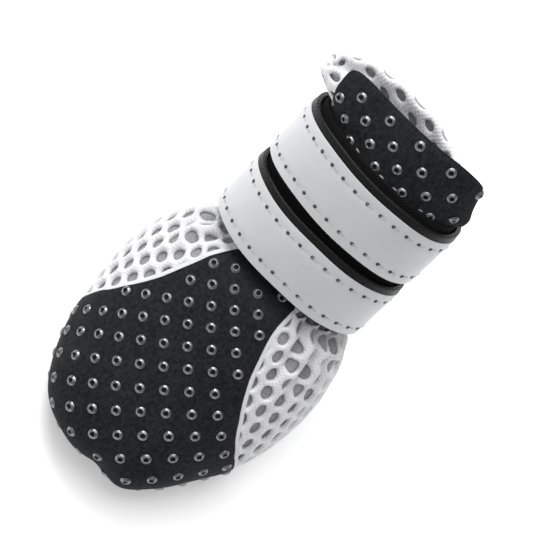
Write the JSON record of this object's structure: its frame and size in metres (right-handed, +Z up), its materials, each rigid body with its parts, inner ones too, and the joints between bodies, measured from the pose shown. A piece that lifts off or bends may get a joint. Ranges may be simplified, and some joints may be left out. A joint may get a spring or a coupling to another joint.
{
  "type": "dog boot",
  "caption": "Soft dog boot: hollow fabric and air-mesh upper on a flat oval rubber sole, with an insole, a loop band and wrapped hook straps faced with reflective tape.",
  "frame": {"origin": "middle of the sole's flat underside, on the floor", "axes": "+X towards the toe, +Y towards the boot's left side, +Z up; the shaft leans back towards -X"},
  "size_m": [0.0868, 0.052, 0.0758],
  "materials": {
    "sole_rubber": "matt, finely studded soft tread with a black rolled edge",
    "insole_fabric": "brushed fabric",
    "upper_mesh": "white spacer mesh, with a black vamp fabric printed with raised grey rings",
    "loop_band": "black loop pile",
    "strap_tape": "black hook strap faced with grey reflective tape, sewn along both edges"
  },
  "bodies": {
    "root": {"sole": "sole_rubber", "insole": "insole_fabric", "upper": "upper_mesh", "closure_band": "loop_band", "strap_lower": "strap_tape", "strap_upper": "strap_tape"}
  },
  "joints": []
}
